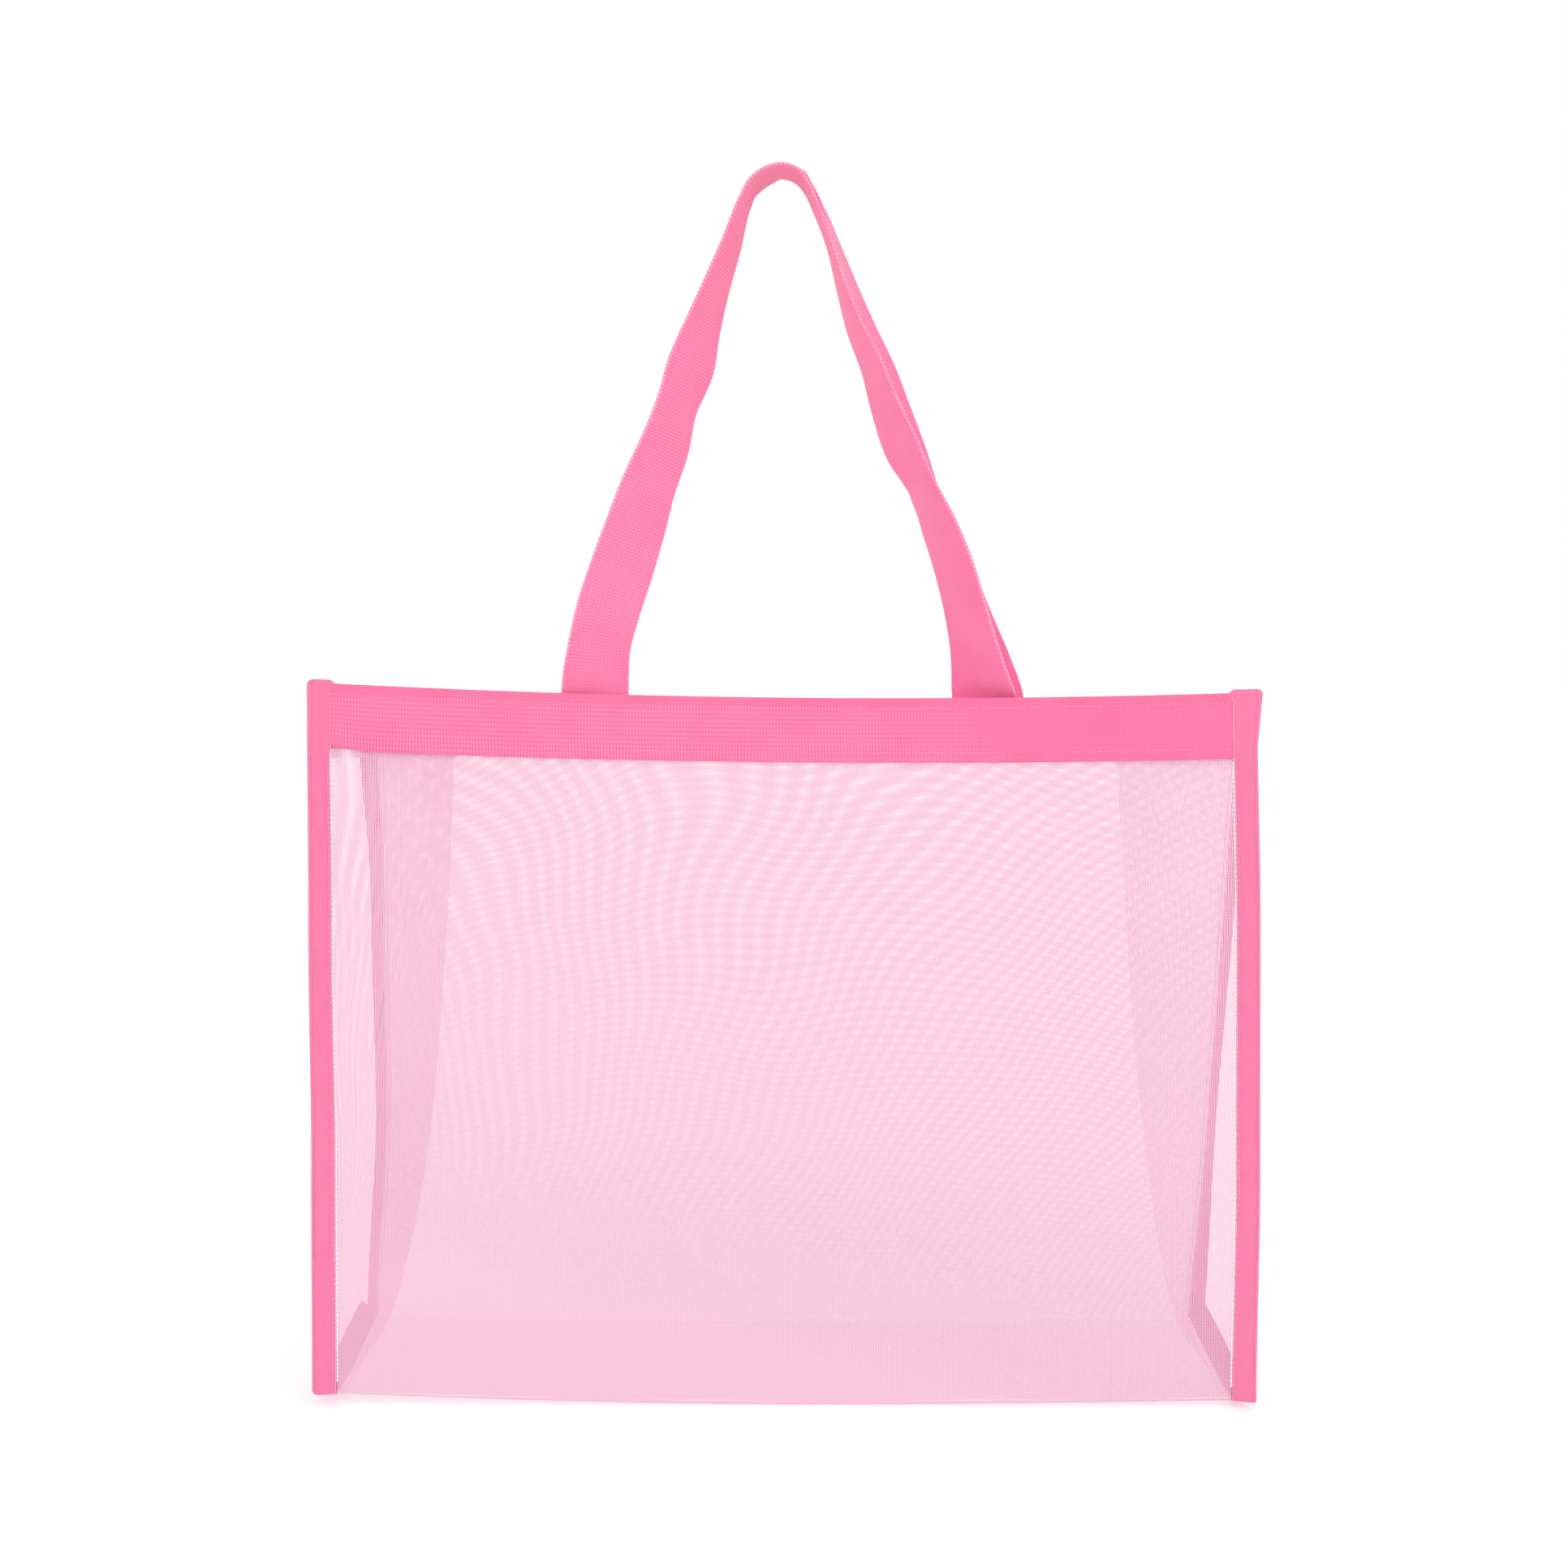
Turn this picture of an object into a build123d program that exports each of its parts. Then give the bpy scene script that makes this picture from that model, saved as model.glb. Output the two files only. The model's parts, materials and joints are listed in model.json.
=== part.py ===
"""Mesh beach bag with webbing trim and two shoulder handles, standing open on its base.

Millimetres. +Z is up, +X is to the right of someone who faces the front, and the front faces -Y.
The origin is the middle of the base, on the surface that the bag stands on.
"""

from math import atan2, cos, hypot, radians, sin, sqrt
import os

from build123d import *

# Body. Half widths are to the side seams, and the bindings stand outside them.
seam_half_width = 198.0
body_height = 315.0
base_half_depth = 60.0
mouth_half_depth = 29.0
back_sideways_shift = 11.0
mesh_thickness = 1.0

# Top bands, 30 mm webbing
webbing_width = 30.0
webbing_thickness = 1.5

# Binding tape, folded over the side seams. Its upper ends stand above the bands.
binding_width = 12.0
binding_thickness = 2.4
binding_corner_radius = 3.0
binding_rise = {"left": 6.0, "right": 3.0}

# Sewing thread, drawn as one flat line for each row of stitches
thread_width = 0.8
thread_thickness = 0.4
band_row_heights = (5.5, 25.0)
binding_row_insets = (1.5, 10.2)
row_end_inset = 2.0

# Handles. Each loop leans in until the two nearly touch at the top, the back one a little higher.
# A leg makes a quarter turn on the way up, and the right one does most of it near the band.
handle_leg_spacing = {"front": 172.0, "back": 186.0}
handle_sideways_offset = {"front": 2.0, "back": -5.0}
handle_rise = {"front": 237.0, "back": 243.0}
handle_apex_depth = 16.0
handle_end_length = 27.0
sections_per_leg = 14
section_crowding = 1.5
twist_angle = radians(90)
twist_power = {"left": 1.0, "right": 0.5}

# Centre line of half a handle, from its base to its apex, as shares of half the spacing and of the rise
half_handle_shape = [(1.0, 0.0), (0.92, 0.18), (0.7, 0.41), (0.5, 0.6), (0.29, 0.82), (0.19, 0.93), (0.0, 1.0)]

# Clearances between pieces that move apart, and at the folds of the cloth
handle_gap = 0.6
panel_fold_gap = 2.0
binding_fold_gap = 3.0
base_edge_gap = 0.6
base_binding_end_gap = 3.0
gusset_gap = 0.5
gusset_sections = 10

# Names, directions and sizes worked out from the above
FRONT, BACK = "front", "back"
LEFT, RIGHT = "left", "right"
outward_y = {FRONT: -1, BACK: 1}
outward_x = {LEFT: -1, RIGHT: 1}
lean = atan2(base_half_depth - mouth_half_depth, body_height)
panel_length = hypot(base_half_depth - mouth_half_depth, body_height)
band_bottom = panel_length - webbing_width
handle_end_depth = -mesh_thickness - webbing_thickness
binding_depth = -(mesh_thickness + binding_thickness) / 2


def sideways_shift(side, height):
    """How far the cloth of a panel stands to the right, at a distance up the panel."""
    return back_sideways_shift * height / panel_length if side == BACK else 0.0


def leaning_plane(side, angle, origin):
    """Plane that leans in by an angle, seen from the front: its own X to the right and Y up."""
    return Plane(origin=origin, x_dir=(1, 0, 0), z_dir=(0, -cos(angle), -outward_y[side] * sin(angle)))


def panel_point(side, height, depth):
    """Point in the middle of a panel. Depth is outward from the cloth's outer face."""
    across = base_half_depth - height * sin(lean) + depth * cos(lean)
    return Vector(0, outward_y[side] * across, height * cos(lean) + depth * sin(lean))


def strip_outline(side, left, right, bottom, top):
    """Corners of a strip on a panel, which follows the panel's sideways shift."""
    low, high = sideways_shift(side, bottom), sideways_shift(side, top)
    return [(left + low, bottom), (right + low, bottom), (right + high, top), (left + high, top)]


def lay_strips(side, depth, thickness, strips, corner_radius=0.0):
    """Lay flat strips on a panel, each given by its left, right, bottom and top."""
    with BuildSketch(leaning_plane(side, lean, panel_point(side, 0, depth))) as outlines:
        for strip in strips:
            with BuildLine():
                Polyline(*strip_outline(side, *strip), close=True)
            make_face()
        if corner_radius:
            fillet(outlines.vertices(), corner_radius)
    extrude(outlines.sketch, amount=-outward_y[side] * thickness)


def beside_seam(hand, start, end):
    """Left and right of a strip outside a side seam, between two distances from the seam."""
    edges = [outward_x[hand] * (seam_half_width + distance) for distance in (start, end)]
    return min(edges), max(edges)


def binding_rows(hand):
    """Left and right of the two rows of stitches on a binding."""
    return [beside_seam(hand, inset, inset + thread_width) for inset in binding_row_insets]


def binding_top(hand):
    """Distance up the panel of a binding's upper end."""
    return panel_length + binding_rise[hand]


def handle_legs(side):
    """Left and right of the two legs of a handle at the top band."""
    reach = handle_leg_spacing[side] / 2
    centres = [handle_sideways_offset[side] + sign * reach for sign in (-1, 1)]
    return [(centre - webbing_width / 2, centre + webbing_width / 2) for centre in centres]


def handle_plane(side):
    """Plane of a handle's centre line, from the middle of its base at the top band."""
    base = panel_point(side, panel_length + handle_gap, handle_end_depth + webbing_thickness / 2)
    base.X = handle_sideways_offset[side] + sideways_shift(side, panel_length)
    return leaning_plane(side, atan2(abs(base.Y) - handle_apex_depth, handle_rise[side]), base)


def half_handle(side, hand):
    """Centre line of one leg of a handle, from the top band to the apex, on the plane of the handle."""
    reach = outward_x[hand] * handle_leg_spacing[side] / 2
    points = [(across * reach, up * handle_rise[side]) for across, up in half_handle_shape]
    with BuildLine() as half:
        Spline(*points, tangents=[(0, 1), (-outward_x[hand], 0)])
    return half.line


def section_plane(side, hand, centre_line, share):
    """Plane across a leg's strap, at a share of the way up it, with the strap's width along its X."""
    along = centre_line % share
    away_from_bag = handle_plane(side).z_dir * -outward_y[side]
    away_from_loop = Vector(outward_x[hand] * along.Z, 0, -outward_x[hand] * along.X).normalized()
    twist = twist_angle * share ** twist_power[hand]
    width_direction = away_from_loop * cos(twist) + away_from_bag * sin(twist)
    return Plane(origin=centre_line @ share, x_dir=width_direction, z_dir=along)


def half_depth(height):
    """Distance from the middle of the bag to a panel's outer face, at a height."""
    return base_half_depth + (mouth_half_depth - base_half_depth) * height / body_height


def gusset_outline(hand, height):
    """Outline of a side gusset at a height: a V that points into the bag, deeper towards the mouth."""
    fold_depth = sqrt(base_half_depth**2 - half_depth(height) ** 2)
    edge_depth = half_depth(height) - mesh_thickness / cos(lean) - gusset_gap
    inward = -outward_x[hand]
    front_edge = outward_x[hand] * (seam_half_width - gusset_gap)
    back_edge = front_edge + back_sideways_shift * height / body_height
    fold = (front_edge + back_edge) / 2 + inward * fold_depth
    wall = inward * mesh_thickness * base_half_depth / half_depth(height)
    outer = [(front_edge, -edge_depth), (fold, 0), (back_edge, edge_depth)]
    return outer + [(across + wall, depth) for across, depth in reversed(outer)]


def make_panel(side):
    """One tall side of the mesh body cloth."""
    with BuildPart() as panel:
        outline = (-seam_half_width, seam_half_width, panel_fold_gap, panel_length)
        lay_strips(side, -mesh_thickness, mesh_thickness, [outline])
    finish(panel, f"{side}_panel")


def make_top_band(side):
    """Webbing sewn to the outside of a panel along its top edge."""
    with BuildPart() as band:
        outline = (-seam_half_width, seam_half_width, band_bottom, panel_length)
        lay_strips(side, 0, webbing_thickness, [outline])
    finish(band, f"{side}_top_band")


def make_corner_binding(side, hand):
    """Folded tape over the upright seam between a panel and a gusset."""
    with BuildPart() as binding:
        outline = (*beside_seam(hand, 0, binding_width), binding_fold_gap, binding_top(hand))
        lay_strips(side, binding_depth, binding_thickness, [outline], binding_corner_radius)
    finish(binding, f"{side}_{hand}_binding")


def make_handle_ends(side):
    """The two ends of a handle's strap, sewn to the inside of the panel behind the top band."""
    with BuildPart() as ends:
        bottom = panel_length - handle_end_length
        outlines = [(left, right, bottom, panel_length) for left, right in handle_legs(side)]
        lay_strips(side, handle_end_depth, webbing_thickness, outlines)
    finish(ends, f"{side}_handle_ends")


def make_panel_stitching(side):
    """Rows of stitches along a top band, and along the two bindings beside it."""
    row_edge = seam_half_width - row_end_inset
    with BuildPart() as stitching:
        band_rows = [
            (-row_edge, row_edge, band_bottom + height, band_bottom + height + thread_width)
            for height in band_row_heights
        ]
        lay_strips(side, webbing_thickness, thread_thickness, band_rows)
        upright_rows = [
            (*row, binding_fold_gap + row_end_inset, binding_top(hand) - row_end_inset)
            for hand in (LEFT, RIGHT)
            for row in binding_rows(hand)
        ]
        lay_strips(side, binding_depth + binding_thickness, thread_thickness, upright_rows)
    finish(stitching, f"{side}_stitching")


def make_handle(side):
    """The free loop of a handle: one strap that makes a quarter turn on each leg."""
    with BuildPart() as handle:
        for hand in (LEFT, RIGHT):
            centre_line = handle_plane(side).from_local_coords(half_handle(side, hand))
            for index in range(sections_per_leg + 1):
                share = 1 - (1 - index / sections_per_leg) ** section_crowding
                with BuildSketch(section_plane(side, hand, centre_line, share)):
                    Rectangle(webbing_width, webbing_thickness)
            loft(ruled=True)
    finish(handle, f"{side}_handle")


def make_gusset(hand):
    """Mesh side wall, straight along the base and folded inward at the mouth."""
    bottom, top = mesh_thickness + gusset_gap, body_height - gusset_gap
    with BuildPart() as gusset:
        for index in range(gusset_sections + 1):
            height = bottom + (top - bottom) * (index / gusset_sections) ** 2
            with BuildSketch(Plane.XY.offset(height)):
                with BuildLine():
                    Polyline(*gusset_outline(hand, height), close=True)
                make_face()
        loft(ruled=True)
    finish(gusset, f"{hand}_gusset")


def make_base_panel():
    """The part of the body cloth that the bag stands on."""
    with BuildPart() as base:
        with BuildSketch():
            Rectangle(2 * seam_half_width, 2 * (base_half_depth - base_edge_gap))
        extrude(amount=mesh_thickness)
    finish(base, "base_panel")


def lay_beside_base(hand, start, end, bottom, thickness, length):
    """Lay a straight strip along one short side of the base."""
    left, right = beside_seam(hand, start, end)
    with BuildSketch(Plane.XY.offset(bottom)) as outline:
        with Locations(((left + right) / 2, 0)):
            Rectangle(right - left, length)
    extrude(outline.sketch, amount=thickness)


def make_base_binding(hand):
    """Folded tape over the seam between the base and a gusset."""
    length = 2 * (base_half_depth - base_binding_end_gap)
    with BuildPart() as binding:
        lay_beside_base(hand, 0, binding_width, 0, binding_thickness, length)
    finish(binding, f"base_{hand}_binding")


def make_base_stitching():
    """Rows of stitches along the two bindings of the base."""
    length = 2 * (base_half_depth - base_binding_end_gap - row_end_inset)
    with BuildPart() as stitching:
        for hand in (LEFT, RIGHT):
            for inset in binding_row_insets:
                lay_beside_base(hand, inset, inset + thread_width, binding_thickness, thread_thickness, length)
    finish(stitching, "base_stitching")


def finish(piece, name):
    """Name a finished sub-part and write it to its own file."""
    piece.part.label = name
    export_step(piece.part, f"parts/{name}.step")


os.makedirs("parts", exist_ok=True)

make_base_panel()
make_base_stitching()
for hand in (LEFT, RIGHT):
    make_base_binding(hand)
    make_gusset(hand)
for side in (FRONT, BACK):
    make_panel(side)
    make_top_band(side)
    make_handle_ends(side)
    make_panel_stitching(side)
    make_handle(side)
    for hand in (LEFT, RIGHT):
        make_corner_binding(side, hand)
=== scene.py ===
"""Looks of the mesh beach bag: cloth, webbing, tape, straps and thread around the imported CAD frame.

Metres, in the CAD's own frame: +Z up, the front faces -Y, +X to the right of someone who faces it.
"Up" along a panel is measured on the cloth from the bottom fold, and depth is outward from its face.
"""

import json
from functools import partial
from math import atan2, cos, hypot, pi, radians, sin, tan

import bpy
import numpy as np
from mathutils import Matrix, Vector


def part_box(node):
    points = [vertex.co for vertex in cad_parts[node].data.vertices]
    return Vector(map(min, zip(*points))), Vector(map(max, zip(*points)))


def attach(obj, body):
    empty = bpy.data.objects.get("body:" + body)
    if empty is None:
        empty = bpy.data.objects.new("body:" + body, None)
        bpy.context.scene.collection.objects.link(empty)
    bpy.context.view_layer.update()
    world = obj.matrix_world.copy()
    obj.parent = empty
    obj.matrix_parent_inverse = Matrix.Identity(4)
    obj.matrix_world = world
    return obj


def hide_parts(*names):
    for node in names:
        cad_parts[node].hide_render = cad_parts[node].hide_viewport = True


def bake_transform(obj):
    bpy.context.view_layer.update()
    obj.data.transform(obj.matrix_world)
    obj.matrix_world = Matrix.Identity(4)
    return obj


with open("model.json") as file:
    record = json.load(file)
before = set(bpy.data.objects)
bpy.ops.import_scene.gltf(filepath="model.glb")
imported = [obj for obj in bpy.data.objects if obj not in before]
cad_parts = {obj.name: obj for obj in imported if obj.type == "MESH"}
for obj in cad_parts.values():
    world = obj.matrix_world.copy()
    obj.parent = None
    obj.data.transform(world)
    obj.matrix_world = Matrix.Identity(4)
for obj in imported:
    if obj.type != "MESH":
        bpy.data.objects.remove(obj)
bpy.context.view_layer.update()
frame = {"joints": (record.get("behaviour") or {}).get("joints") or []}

MM = 0.001
OUTWARD = {"front": -1, "back": 1}
HANDS = {"left": -1, "right": 1}

# ---- Sizes read from the frame

panel_low, panel_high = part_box("front_panel")
band_low, band_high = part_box("front_top_band")
joint_places = {joint["name"]: joint["pos_m"] for joint in frame["joints"]}

SEAM = panel_high.x
CLOTH_TOP = panel_high.z
BASE_DEPTH = -joint_places["front_lean"][1]
MOUTH_DEPTH = -band_high.y
BACK_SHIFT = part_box("back_panel")[1].x - SEAM
LEAN = atan2(BASE_DEPTH - MOUTH_DEPTH, CLOTH_TOP)
CLOTH_LENGTH = hypot(BASE_DEPTH - MOUTH_DEPTH, CLOTH_TOP)
BAND_BOTTOM = band_low.z / cos(LEAN)
BAND_WIDTH = CLOTH_LENGTH - BAND_BOTTOM
FIN_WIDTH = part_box("front_right_binding")[1].x - SEAM
STRAP_WIDTH = 30 * MM
STRAP_THICKNESS = 1.5 * MM

# ---- How the soft pieces depart from their plain CAD solids

FOLD_RADIUS = 3 * MM
FOLD_TURN = pi / 2 + LEAN
FOLD_TANGENT = FOLD_RADIUS * tan(FOLD_TURN / 2)
FOLD_LENGTH = FOLD_RADIUS * FOLD_TURN
UNDERLAP = 3 * MM
# Depth of the cloth's middle under the face of its panel
CLOTH_DEPTH = -0.5 * MM
FLOOR_GAP = 0.15 * MM

# Height of the top edge above plain, as constant, slope and curve across the bag
TOP_RISE = {"front": (-1.3, -2.1, 4.2), "back": (-4.8, -0.6, 0.6)}
# How far the bottom corners lift off the floor
CORNER_LIFT = {
    ("front", "left"): 4.8 * MM,
    ("front", "right"): 2.5 * MM,
    ("back", "left"): 1.5 * MM,
    ("back", "right"): 2.0 * MM,
}
# How far each side seam bows outward, at even steps up the cloth
SEAM_BOW = {
    ("front", "left"): (0.2, 1.0, 3.0, 4.2),
    ("front", "right"): (1.0, 3.0, 3.4, 2.0),
    ("back", "left"): (4.0, -1.0, 0.5, 4.2),
    ("back", "right"): (1.6, 3.4, 3.8, 4.6),
}
# How far each tape turns out of the panel's plane, in degrees, at even steps up the cloth
FIN_TURN = {
    ("front", "left"): (18, 24, 34, 40),
    ("front", "right"): (20, 24, 28, 30),
    ("back", "left"): (56, 50, 44, 20),
    ("back", "right"): (34, 56, 50, 30),
}
# Where a tape's two upper ends stand, from the cloth's top edge
FIN_RISE = {"front": 1.5 * MM, "back": -0.5 * MM}
# How much wider each tape opens toward its upper end
FIN_FLARE = {
    ("front", "left"): 0.0,
    ("front", "right"): 2.8 * MM,
    ("back", "left"): 0.5 * MM,
    ("back", "right"): 0.5 * MM,
}
# Where a tape's section starts and ends, outward from its seam
TAPE_FOOT = 0.3 * MM
TAPE_NOSE = FIN_WIDTH - 1.1 * MM
HEM_DEPTH = 32 * MM
# How much narrower the band is than its CAD solid, along its lower edge
BAND_TAKE_UP = 0.9 * MM
# Radius of each upright tape's lower outer corner
TAPE_CORNER = {
    ("front", "left"): 4.5 * MM,
    ("front", "right"): 0.8 * MM,
    ("back", "left"): 2.0 * MM,
    ("back", "right"): 2.0 * MM,
}
# How far each gusset's inward fold stands to the right of plain, at its top
GUSSET_FOLD_SHIFT = {"left": -6 * MM, "right": -3 * MM}


def key_values(values, share):
    """Smooth curve through values given at even steps of share, from 0 to 1."""
    values = np.asarray(values, float)
    place = np.clip(share, 0, 1) * (len(values) - 1)
    index = np.minimum(place.astype(int), len(values) - 2)
    part = place - index
    part = part * part * (3 - 2 * part)
    return values[index] * (1 - part) + values[index + 1] * part


# ---- Where the cloth stands

def profile(up, depth):
    """Distance from the middle of the bag, and height, on a panel's cross-section."""
    up = np.asarray(up, float)
    straight = np.maximum(up - FOLD_TANGENT, 0)
    turned = np.clip((FOLD_TANGENT - up) / FOLD_RADIUS, 0, FOLD_TURN)
    under = np.maximum(FOLD_TANGENT - FOLD_LENGTH - up, 0)
    centre_out = BASE_DEPTH - FOLD_TANGENT * sin(LEAN) - FOLD_RADIUS * cos(LEAN)
    radius = FOLD_RADIUS + depth
    out = centre_out + radius * np.cos(LEAN - turned) - straight * sin(LEAN) - under
    height = FOLD_RADIUS + radius * np.sin(LEAN - turned) + straight * cos(LEAN)
    return out, height


def seam_bow(side, x, share):
    """Sideways shift of the cloth, from the bow of the two seams beside it."""
    right = key_values(SEAM_BOW[side, "right"], share)
    left = -key_values(SEAM_BOW[side, "left"], share)
    across = np.clip(x / SEAM, -1, 1) * 0.5 + 0.5
    return (left + (right - left) * across) * MM


def corner_lift(side, across):
    """Height of a panel's bottom fold above the floor, across from -1 to 1."""
    highest = np.where(across < 0, CORNER_LIFT[side, "left"], CORNER_LIFT[side, "right"])
    return highest * np.abs(across) ** 1.8


def panel(side, x, up, depth=0.0):
    """Points of a panel: x across it, up the cloth, and depth outward from its face."""
    x, up, depth = np.broadcast_arrays(np.asarray(x, float), np.asarray(up, float), depth)
    share = np.clip(up / CLOTH_LENGTH, 0, 1.02)
    across = np.clip(x / SEAM, -1, 1)
    out, height = profile(up, depth)
    level, slope, curve = TOP_RISE[side]
    height = height + (level + slope * across + curve * across**2) * MM * share**2
    height = height + corner_lift(side, across) * np.clip(1 - np.abs(up) / (40 * MM), 0, 1) ** 2
    sag = np.sin(pi * np.clip(share, 0, 1)) * np.cos(pi / 2 * across)
    ripple = np.sin(across * 7.0 + share * 2.0) * np.sin(pi * np.clip(share, 0, 1))
    out = out - (2.4 * sag + 0.5 * ripple) * MM
    sideways = seam_bow(side, x, share)
    if side == "back":
        sideways = sideways + BACK_SHIFT * share
    return np.stack([x + sideways, OUTWARD[side] * out, height], -1)


def panel_outward(side):
    """Direction that a panel faces."""
    return np.array([0, OUTWARD[side] * cos(LEAN), sin(LEAN)])


def base(x, y, height):
    """Points of the base cloth, which takes the bow and the lift of the two folds beside it."""
    x, y, height = np.broadcast_arrays(np.asarray(x, float), np.asarray(y, float), height)
    toward_back = np.clip(y / BASE_DEPTH, -1, 1) * 0.5 + 0.5
    front, back = panel("front", x, 0 * x), panel("back", x, 0 * x)
    sideways = front[..., 0] * (1 - toward_back) + back[..., 0] * toward_back
    across = np.clip(x / SEAM, -1, 1)
    lift = 0 * height
    for side, share in (("front", 1 - toward_back), ("back", toward_back)):
        lift = lift + corner_lift(side, across) * np.clip((share - 0.5) / 0.5, 0, 1) ** 2
    return np.stack([sideways, y, height + lift], -1)


# ---- Mesh building

def build(name, points, faces, cloth, material, smooth=True):
    """Make a mesh object, with each point's place on its cloth, in millimetres, kept as an attribute."""
    mesh = bpy.data.meshes.new(name)
    mesh.from_pydata(points.tolist(), [], faces)
    attribute = mesh.attributes.new("cloth", "FLOAT_VECTOR", "POINT")
    attribute.data.foreach_set("vector", np.asarray(cloth, np.float32).ravel())
    mesh.polygons.foreach_set("use_smooth", [smooth] * len(mesh.polygons))
    mesh.materials.append(material)
    mesh.validate()
    piece = bpy.data.objects.new(name, mesh)
    bpy.context.scene.collection.objects.link(piece)
    return piece


def grid_faces(rows, columns, closed=False, first=0):
    """Quads of a grid of points. A closed grid joins its last column to its first."""
    span = columns if closed else columns - 1
    faces = []
    for row in range(rows - 1):
        for column in range(span):
            right = (column + 1) % columns
            low, high = first + row * columns, first + (row + 1) * columns
            faces.append((low + column, low + right, high + right, high + column))
    return faces


def sheet_piece(name, points, cloth, material):
    """One layer of cloth from a grid of points."""
    rows, columns = points.shape[:2]
    return build(name, points.reshape(-1, 3), grid_faces(rows, columns), cloth.reshape(-1, 3), material)


def tube_piece(name, points, cloth, material):
    """A closed piece from rings of points, with its two ends capped."""
    rows, columns = points.shape[:2]
    faces = grid_faces(rows, columns, closed=True)
    faces.append(tuple(reversed(range(columns))))
    faces.append(tuple(range((rows - 1) * columns, rows * columns)))
    return build(name, points.reshape(-1, 3), faces, cloth.reshape(-1, 3), material)


def cloth_places(along, across, extra=0.0):
    """Places on the cloth, in millimetres, with a third number that each fabric reads in its own way."""
    along, across, extra = np.broadcast_arrays(along, across, extra)
    return np.stack([along / MM, across / MM, extra], -1)


def unit(vectors):
    """Vectors of the same directions, one metre long."""
    return vectors / np.linalg.norm(vectors, axis=-1, keepdims=True)


# ---- Materials

def screen_colour(red, green, blue):
    """Linear colour, for a shader, of a colour as a screen shows it, from 0 to 255."""
    shares = [value / 255 for value in (red, green, blue)]
    return [s / 12.92 if s <= 0.04045 else ((s + 0.055) / 1.055) ** 2.4 for s in shares] + [1.0]


class Fabric:
    """The node graph of one fabric, which reads the cloth attribute, in millimetres."""

    def __init__(self, name, roughness, sheen):
        self.material = bpy.data.materials.new(name)
        self.material.use_nodes = True
        self.nodes = self.material.node_tree.nodes
        self.links = self.material.node_tree.links
        self.shader = self.nodes["Principled BSDF"]
        self.shader.inputs["Roughness"].default_value = roughness
        self.shader.inputs["Sheen Weight"].default_value = sheen
        self.shader.inputs["Specular IOR Level"].default_value = 0.25
        self.place = self.add("ShaderNodeAttribute", attribute_name="cloth").outputs["Vector"]
        split = self.add("ShaderNodeSeparateXYZ", self.place)
        self.along, self.across, self.extra = split.outputs

    def add(self, kind, *inputs, **settings):
        node = self.nodes.new(kind)
        for setting, value in settings.items():
            setattr(node, setting, value)
        for socket, value in zip(node.inputs, inputs):
            self.feed(socket, value)
        return node

    def feed(self, socket, value):
        if isinstance(value, bpy.types.NodeSocket):
            self.links.new(value, socket)
        elif value is not None:
            socket.default_value = value

    def math(self, operation, *values):
        return self.add("ShaderNodeMath", *values, operation=operation).outputs[0]

    def vectors(self, operation, first, second, output=0):
        return self.add("ShaderNodeVectorMath", first, second, operation=operation).outputs[output]

    def wave(self, place, period):
        """A smooth wave from 0 to 1 along one coordinate."""
        turn = self.math("MULTIPLY", place, 2 * pi / period)
        return self.math("MULTIPLY_ADD", self.math("COSINE", turn), 0.5, 0.5)

    def noise(self, size, detail=2.0, stretch=(1, 1, 1)):
        """Noise from 0 to 1 with features of about that size, in millimetres."""
        noise = self.add("ShaderNodeTexNoise")
        self.feed(noise.inputs["Vector"], self.vectors("MULTIPLY", self.place, stretch))
        self.feed(noise.inputs["Scale"], 1 / size)
        self.feed(noise.inputs["Detail"], detail)
        return noise.outputs["Fac"]

    def slow_noise(self, size, shift):
        """Three slow noises at once, centred on 0, the first two of them for a sideways pull."""
        noise = self.add("ShaderNodeTexNoise")
        self.feed(noise.inputs["Vector"], self.vectors("ADD", self.place, (shift, 0, 0)))
        self.feed(noise.inputs["Scale"], 1 / size)
        self.feed(noise.inputs["Detail"], 0.0)
        return self.vectors("SUBTRACT", noise.outputs["Color"], (0.5, 0.5, 0.5))

    def ramp(self, value, low, high, start=0.0, end=1.0):
        """A smooth step from start to end, while a value goes from low to high."""
        node = self.add("ShaderNodeMapRange", value, low, high, start, end, interpolation_type="SMOOTHSTEP")
        return node.outputs[0]

    def mix(self, share, first, second):
        node = self.add("ShaderNodeMix", data_type="RGBA")
        self.feed(node.inputs["Factor"], share)
        self.feed(node.inputs[6], first)
        self.feed(node.inputs[7], second)
        return node.outputs[2]

    def mix_values(self, share, first, second):
        node = self.add("ShaderNodeMix", share, data_type="FLOAT")
        self.feed(node.inputs[2], first)
        self.feed(node.inputs[3], second)
        return node.outputs[0]

    def total(self, *weighted):
        """Sum of values, each given with its weight."""
        result = 0.0
        for value, weight in weighted:
            result = self.math("MULTIPLY_ADD", value, weight, result)
        return result

    def finish(self, colour, height, depth, roughness=None, alpha=None):
        """Link the shader, with a relief of that depth in metres, and give the material."""
        self.feed(self.shader.inputs["Base Color"], colour)
        bump = self.add("ShaderNodeBump")
        self.feed(bump.inputs["Distance"], depth)
        self.feed(bump.inputs["Height"], height)
        self.feed(self.shader.inputs["Normal"], bump.outputs["Normal"])
        self.feed(self.shader.inputs["Roughness"], roughness)
        self.feed(self.shader.inputs["Alpha"], alpha)
        return self.material


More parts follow.
